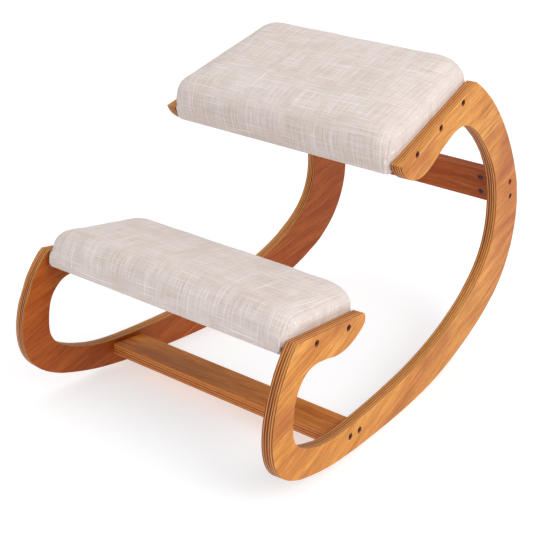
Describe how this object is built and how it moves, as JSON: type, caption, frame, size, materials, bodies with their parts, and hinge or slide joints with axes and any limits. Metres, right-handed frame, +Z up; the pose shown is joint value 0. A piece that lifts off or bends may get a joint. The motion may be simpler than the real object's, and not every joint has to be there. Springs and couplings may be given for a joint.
{
  "type": "rocking kneeling chair",
  "caption": "Rocking kneeling chair with two curved plywood side frames, a sloped seat cushion, a knee cushion, a lower rail and a rear stretcher.",
  "frame": {"origin": "centre of the bounding box, on the floor under the runners", "axes": "+Z up, +Y from the knee cushion toward the seat and the back, +X to the sitter's left when seated facing the knee cushion"},
  "size_m": [0.5132, 0.7497, 0.5395],
  "materials": {
    "stained_ply": "honey-stained plywood, satin lacquer, bare ply edges",
    "base_board": "unfinished plywood",
    "linen_cover": "woven slub linen",
    "foam": "open-cell foam",
    "dust_cloth": "non-woven backing cloth",
    "bolt_steel": "dark bronze coating",
    "nut_steel": "zinc plated",
    "staple_steel": "galvanised"
  },
  "bodies": {
    "root": {"knee_board": "base_board", "knee_bolts_left": "bolt_steel", "knee_bolts_right": "bolt_steel", "knee_cover": "linen_cover", "knee_dust_cover": "dust_cloth", "knee_foam": "foam", "knee_inserts_left": "nut_steel", "knee_inserts_right": "nut_steel", "knee_staples": "staple_steel", "lower_rail": "stained_ply", "rail_barrel_nuts_left": "bolt_steel", "rail_barrel_nuts_right": "bolt_steel", "rail_bolts_left": "bolt_steel", "rail_bolts_right": "bolt_steel", "rear_stretcher": "stained_ply", "seat_board": "base_board", "seat_bolts_left": "bolt_steel", "seat_bolts_right": "bolt_steel", "seat_cover": "linen_cover", "seat_dust_cover": "dust_cloth", "seat_foam": "foam", "seat_inserts_left": "nut_steel", "seat_inserts_right": "nut_steel", "seat_staples": "staple_steel", "side_frame_left": "stained_ply", "side_frame_right": "stained_ply", "stretcher_barrel_nuts_left": "bolt_steel", "stretcher_barrel_nuts_right": "bolt_steel", "stretcher_bolts_left": "bolt_steel", "stretcher_bolts_right": "bolt_steel"}
  },
  "joints": []
}
